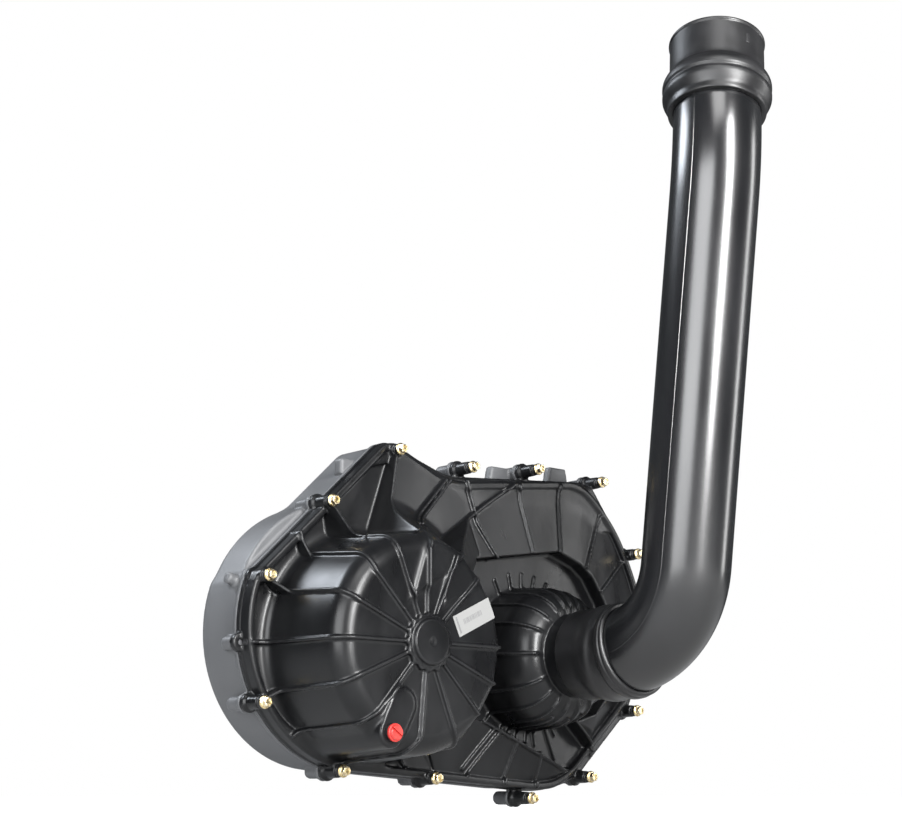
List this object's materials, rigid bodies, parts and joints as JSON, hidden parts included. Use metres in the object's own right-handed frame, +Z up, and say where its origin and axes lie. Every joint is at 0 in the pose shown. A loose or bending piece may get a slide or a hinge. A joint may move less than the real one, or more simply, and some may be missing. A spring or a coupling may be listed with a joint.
{
  "type": "belt drive housing with intake duct",
  "caption": "Ribbed black belt-drive cover on a grey back housing, with a round neck, rubber boot and elbow duct that leads up to a leaning intake pipe with a rubber cuff.",
  "frame": {"origin": "on the engine shaft's axis, at the rear mounting face of the back housing", "axes": "+Y rearwards along the engine shaft towards the engine, +X towards the gearbox shaft and the inlet neck, +Z up along the duct"},
  "size_m": [0.6362, 0.4969, 0.88],
  "materials": {
    "cover_black": "satin moulded, faint flow marks",
    "rubber_black": "matte",
    "housing_grey": "satin",
    "zinc_yellow": "yellow zinc plated",
    "brass": "machined",
    "duct_black": "satin blow moulded",
    "plug_red": "satin",
    "label_white": "satin film",
    "steel": "machined",
    "alloy": "cast and machined",
    "belt_rubber": "matte"
  },
  "bodies": {
    "housing": {"outer_cover": "cover_black", "cover_seal": "rubber_black", "back_housing": "housing_grey", "threaded_inserts": "brass", "locating_pin": "steel", "compression_sleeves": "steel", "screw_grommets": "rubber_black", "cover_screws": "zinc_yellow", "info_label": "label_white", "inlet_boot": "rubber_black", "intake_duct": "duct_black", "duct_cuff": "rubber_black", "engine_side_seal": "rubber_black", "gearbox_side_seal": "rubber_black", "drive_belt": "belt_rubber"},
    "drive_clutch": {"drive_fixed_sheave": "alloy", "drive_spider": "alloy", "drive_bolt": "steel", "roller_pins": "steel", "drive_spring": "steel"},
    "drive_slider": {"drive_moving_sheave": "alloy", "drive_cover_plate": "alloy", "drive_cover_screws": "steel", "drive_bushing": "brass", "flyweight_pins": "steel"},
    "flyweight_a": {"flyweight_1": "steel"},
    "flyweight_b": {"flyweight_2": "steel"},
    "flyweight_c": {"flyweight_3": "steel"},
    "roller_a": {"roller_1": "steel"},
    "roller_b": {"roller_2": "steel"},
    "roller_c": {"roller_3": "steel"},
    "driven_clutch": {"driven_fixed_sheave": "alloy", "driven_cam": "alloy", "driven_bolt": "steel", "driven_spring": "steel"},
    "driven_slider": {"driven_moving_sheave": "alloy", "driven_bushing": "brass", "driven_buttons": "rubber_black"},
    "plug_ring": {"drain_plug_ring": "rubber_black"},
    "plug": {"drain_plug": "plug_red"}
  },
  "joints": [
    {"name": "drive_spin", "type": "hinge", "parent": "housing", "child": "drive_clutch", "pos_m": [0, -0.06, 0], "axis": [0, -1, 0], "continuous": true},
    {"name": "driven_spin", "type": "hinge", "parent": "housing", "child": "driven_clutch", "pos_m": [0.255, -0.06, 0], "axis": [0, -1, 0], "continuous": true},
    {"name": "drive_shift", "type": "slide", "parent": "drive_clutch", "child": "drive_slider", "axis": [0, 1, 0], "range_m": [0, 0.02], "deforming": ["drive_spring", "drive_belt"]},
    {"name": "driven_shift", "type": "slide", "parent": "driven_clutch", "child": "driven_slider", "axis": [0, 1, 0], "range_m": [0, 0.016], "deforming": ["driven_spring"]},
    {"name": "flyweight_a_swing", "type": "hinge", "parent": "drive_slider", "child": "flyweight_a", "pos_m": [0.0355, -0.092, 0.06149], "axis": [-0.866, 0, 0.5], "range_deg": [0, 36]},
    {"name": "flyweight_b_swing", "type": "hinge", "parent": "drive_slider", "child": "flyweight_b", "pos_m": [-0.071, -0.092, 0], "axis": [0, 0, -1], "range_deg": [0, 36]},
    {"name": "flyweight_c_swing", "type": "hinge", "parent": "drive_slider", "child": "flyweight_c", "pos_m": [0.0355, -0.092, -0.06149], "axis": [0.866, 0, 0.5], "range_deg": [0, 36]},
    {"name": "roller_a_spin", "type": "hinge", "parent": "drive_clutch", "child": "roller_a", "pos_m": [0.025, -0.109, 0.0433], "axis": [-0.866, 0, 0.5], "continuous": true},
    {"name": "roller_b_spin", "type": "hinge", "parent": "drive_clutch", "child": "roller_b", "pos_m": [-0.05, -0.109, 0], "axis": [0, 0, -1], "continuous": true},
    {"name": "roller_c_spin", "type": "hinge", "parent": "drive_clutch", "child": "roller_c", "pos_m": [0.025, -0.109, -0.0433], "axis": [0.866, 0, 0.5], "continuous": true},
    {"name": "plug_travel", "type": "slide", "parent": "housing", "child": "plug_ring", "axis": [0, -1, 0], "range_m": [0, 0.0101]},
    {"name": "plug_turn", "type": "hinge", "parent": "plug_ring", "child": "plug", "pos_m": [-0.05, -0.205, -0.096], "axis": [0, -1, 0], "range_deg": [0, 1800]}
  ],
  "couplings": [
    {"joint": "driven_spin", "follows": "drive_spin", "ratio": 0.3434},
    {"joint": "driven_shift", "follows": "drive_shift", "ratio": 0.8},
    {"joint": "flyweight_a_swing", "follows": "drive_shift", "rad_per_m": 31},
    {"joint": "flyweight_b_swing", "follows": "drive_shift", "rad_per_m": 31},
    {"joint": "flyweight_c_swing", "follows": "drive_shift", "rad_per_m": 31},
    {"joint": "plug_travel", "follows": "plug_turn", "m_per_rad": 0.0003183}
  ]
}
